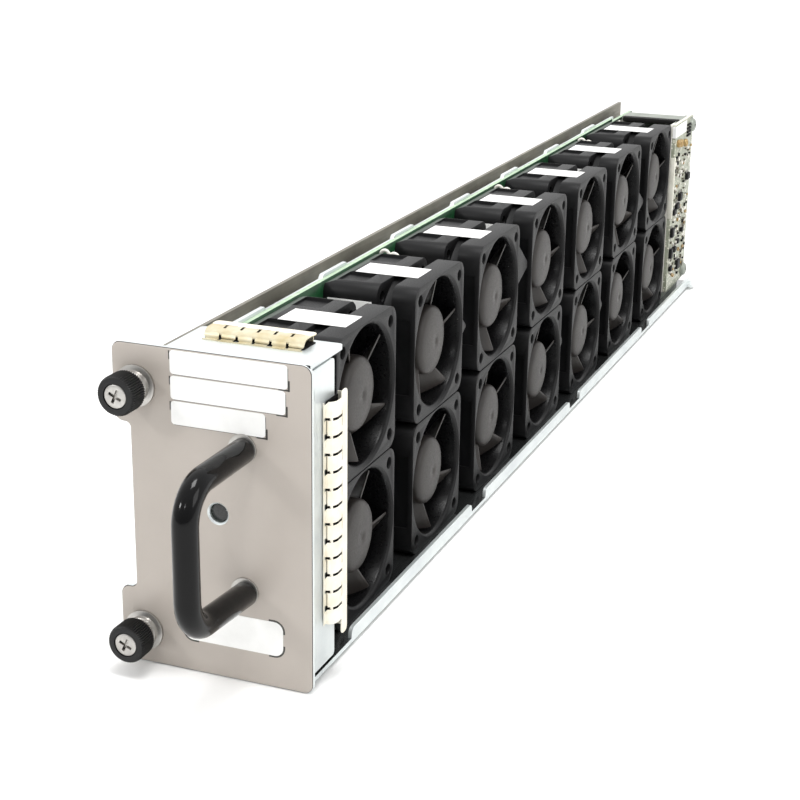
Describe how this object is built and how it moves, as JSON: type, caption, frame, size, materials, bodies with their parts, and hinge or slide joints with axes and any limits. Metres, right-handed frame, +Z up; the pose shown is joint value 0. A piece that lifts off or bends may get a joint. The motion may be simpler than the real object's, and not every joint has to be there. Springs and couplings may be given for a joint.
{
  "type": "switch fan tray",
  "caption": "Slide-in cooling tray: rows of small axial fans on a folded sheet tray behind a front plate with a pull handle, captive thumb screws and spring-finger gaskets.",
  "frame": {"origin": "on the underside of the tray's floor, midway across the fans' depth and below the middle column of fans", "axes": "+X the side where the fans draw air in, +Y from the front plate to the rear connector, +Z up"},
  "size_m": [0.056, 0.47, 0.0877],
  "materials": {
    "zinc_sheet": "zinc-plated sheet steel, satin",
    "plate_paint": "light warm grey satin paint over zinc-plated steel",
    "fan_plastic": "dark grey glass-filled moulded plastic",
    "rotor_plastic": "dark moulded impeller plastic",
    "board_green": "glass-epoxy laminate with green solder mask",
    "rear_board_green": "pale green solder mask",
    "spacer_plastic": "natural nylon",
    "header_plastic": "off-white nylon",
    "lead_insulation": "white wire insulation",
    "handle_coat": "black gloss dip coat over a steel bar",
    "bright_steel": "bright nickel-plated steel",
    "knob_black": "black knurled knob",
    "lens_plastic": "smoked clear light pipe, unlit",
    "gasket_metal": "pale gold spring-finger strip",
    "label_paper": "blank white label stock",
    "plug_plastic": "cream connector moulding",
    "component_black": "black component packages"
  },
  "bodies": {
    "tray": {"tray_base": "zinc_sheet", "fan_frames_lower": "fan_plastic", "fan_frames_upper": "fan_plastic", "fan_board": "board_green", "inner_panel": "zinc_sheet", "panel_spacers": "spacer_plastic", "board_connectors": "header_plastic", "fan_leads": "lead_insulation", "front_plate": "plate_paint", "handle": "handle_coat", "handle_washers": "bright_steel", "handle_screws": "bright_steel", "captive_ferrule_lower": "bright_steel", "captive_ferrule_upper": "bright_steel", "captive_spring_lower": "bright_steel", "captive_spring_upper": "bright_steel", "status_lens": "lens_plastic", "top_gasket": "gasket_metal", "side_gasket": "gasket_metal", "plate_labels": "label_paper", "fan_labels": "label_paper", "rear_bracket": "zinc_sheet", "rear_connector": "plug_plastic", "rear_board": "rear_board_green", "rear_standoffs": "spacer_plastic", "rear_board_screws": "bright_steel", "rear_board_parts": "component_black"},
    "rotor_lower_1": {"fan_rotor_lower_1": "rotor_plastic"},
    "rotor_lower_2": {"fan_rotor_lower_2": "rotor_plastic"},
    "rotor_lower_3": {"fan_rotor_lower_3": "rotor_plastic"},
    "rotor_lower_4": {"fan_rotor_lower_4": "rotor_plastic"},
    "rotor_lower_5": {"fan_rotor_lower_5": "rotor_plastic"},
    "rotor_lower_6": {"fan_rotor_lower_6": "rotor_plastic"},
    "rotor_lower_7": {"fan_rotor_lower_7": "rotor_plastic"},
    "rotor_upper_1": {"fan_rotor_upper_1": "rotor_plastic"},
    "rotor_upper_2": {"fan_rotor_upper_2": "rotor_plastic"},
    "rotor_upper_3": {"fan_rotor_upper_3": "rotor_plastic"},
    "rotor_upper_4": {"fan_rotor_upper_4": "rotor_plastic"},
    "rotor_upper_5": {"fan_rotor_upper_5": "rotor_plastic"},
    "rotor_upper_6": {"fan_rotor_upper_6": "rotor_plastic"},
    "rotor_upper_7": {"fan_rotor_upper_7": "rotor_plastic"},
    "push_washer_lower": {"captive_washer_lower": "bright_steel"},
    "thumb_screw_lower": {"captive_knob_lower": "knob_black", "captive_screw_lower": "bright_steel"},
    "push_washer_upper": {"captive_washer_upper": "bright_steel"},
    "thumb_screw_upper": {"captive_knob_upper": "knob_black", "captive_screw_upper": "bright_steel"}
  },
  "joints": [
    {"name": "fan_spin_lower_1", "type": "hinge", "parent": "tray", "child": "rotor_lower_1", "pos_m": [0, -0.1629, 0.0212], "axis": [1, 0, 0], "continuous": true},
    {"name": "fan_spin_lower_2", "type": "hinge", "parent": "tray", "child": "rotor_lower_2", "pos_m": [0, -0.1086, 0.0212], "axis": [1, 0, 0], "continuous": true},
    {"name": "fan_spin_lower_3", "type": "hinge", "parent": "tray", "child": "rotor_lower_3", "pos_m": [0, -0.0543, 0.0212], "axis": [1, 0, 0], "continuous": true},
    {"name": "fan_spin_lower_4", "type": "hinge", "parent": "tray", "child": "rotor_lower_4", "pos_m": [0, 0, 0.0212], "axis": [1, 0, 0], "continuous": true},
    {"name": "fan_spin_lower_5", "type": "hinge", "parent": "tray", "child": "rotor_lower_5", "pos_m": [0, 0.0543, 0.0212], "axis": [1, 0, 0], "continuous": true},
    {"name": "fan_spin_lower_6", "type": "hinge", "parent": "tray", "child": "rotor_lower_6", "pos_m": [0, 0.1086, 0.0212], "axis": [1, 0, 0], "continuous": true},
    {"name": "fan_spin_lower_7", "type": "hinge", "parent": "tray", "child": "rotor_lower_7", "pos_m": [0, 0.1629, 0.0212], "axis": [1, 0, 0], "continuous": true},
    {"name": "fan_spin_upper_1", "type": "hinge", "parent": "tray", "child": "rotor_upper_1", "pos_m": [0, -0.1629, 0.0616], "axis": [1, 0, 0], "continuous": true},
    {"name": "fan_spin_upper_2", "type": "hinge", "parent": "tray", "child": "rotor_upper_2", "pos_m": [0, -0.1086, 0.0616], "axis": [1, 0, 0], "continuous": true},
    {"name": "fan_spin_upper_3", "type": "hinge", "parent": "tray", "child": "rotor_upper_3", "pos_m": [0, -0.0543, 0.0616], "axis": [1, 0, 0], "continuous": true},
    {"name": "fan_spin_upper_4", "type": "hinge", "parent": "tray", "child": "rotor_upper_4", "pos_m": [0, 0, 0.0616], "axis": [1, 0, 0], "continuous": true},
    {"name": "fan_spin_upper_5", "type": "hinge", "parent": "tray", "child": "rotor_upper_5", "pos_m": [0, 0.0543, 0.0616], "axis": [1, 0, 0], "continuous": true},
    {"name": "fan_spin_upper_6", "type": "hinge", "parent": "tray", "child": "rotor_upper_6", "pos_m": [0, 0.1086, 0.0616], "axis": [1, 0, 0], "continuous": true},
    {"name": "fan_spin_upper_7", "type": "hinge", "parent": "tray", "child": "rotor_upper_7", "pos_m": [0, 0.1629, 0.0616], "axis": [1, 0, 0], "continuous": true},
    {"name": "captive_push_lower", "type": "slide", "parent": "tray", "child": "push_washer_lower", "axis": [0, 1, 0], "range_m": [0, 0.003], "stiffness_N_per_m": 800, "springref_m": -0.002, "deforming": ["captive_spring_lower"]},
    {"name": "captive_turn_lower", "type": "hinge", "parent": "push_washer_lower", "child": "thumb_screw_lower", "pos_m": [-0.027, -0.2178, 0.0078], "axis": [0, 1, 0], "continuous": true},
    {"name": "captive_push_upper", "type": "slide", "parent": "tray", "child": "push_washer_upper", "axis": [0, 1, 0], "range_m": [0, 0.003], "stiffness_N_per_m": 800, "springref_m": -0.002, "deforming": ["captive_spring_upper"]},
    {"name": "captive_turn_upper", "type": "hinge", "parent": "push_washer_upper", "child": "thumb_screw_upper", "pos_m": [-0.027, -0.2178, 0.0733], "axis": [0, 1, 0], "continuous": true}
  ]
}
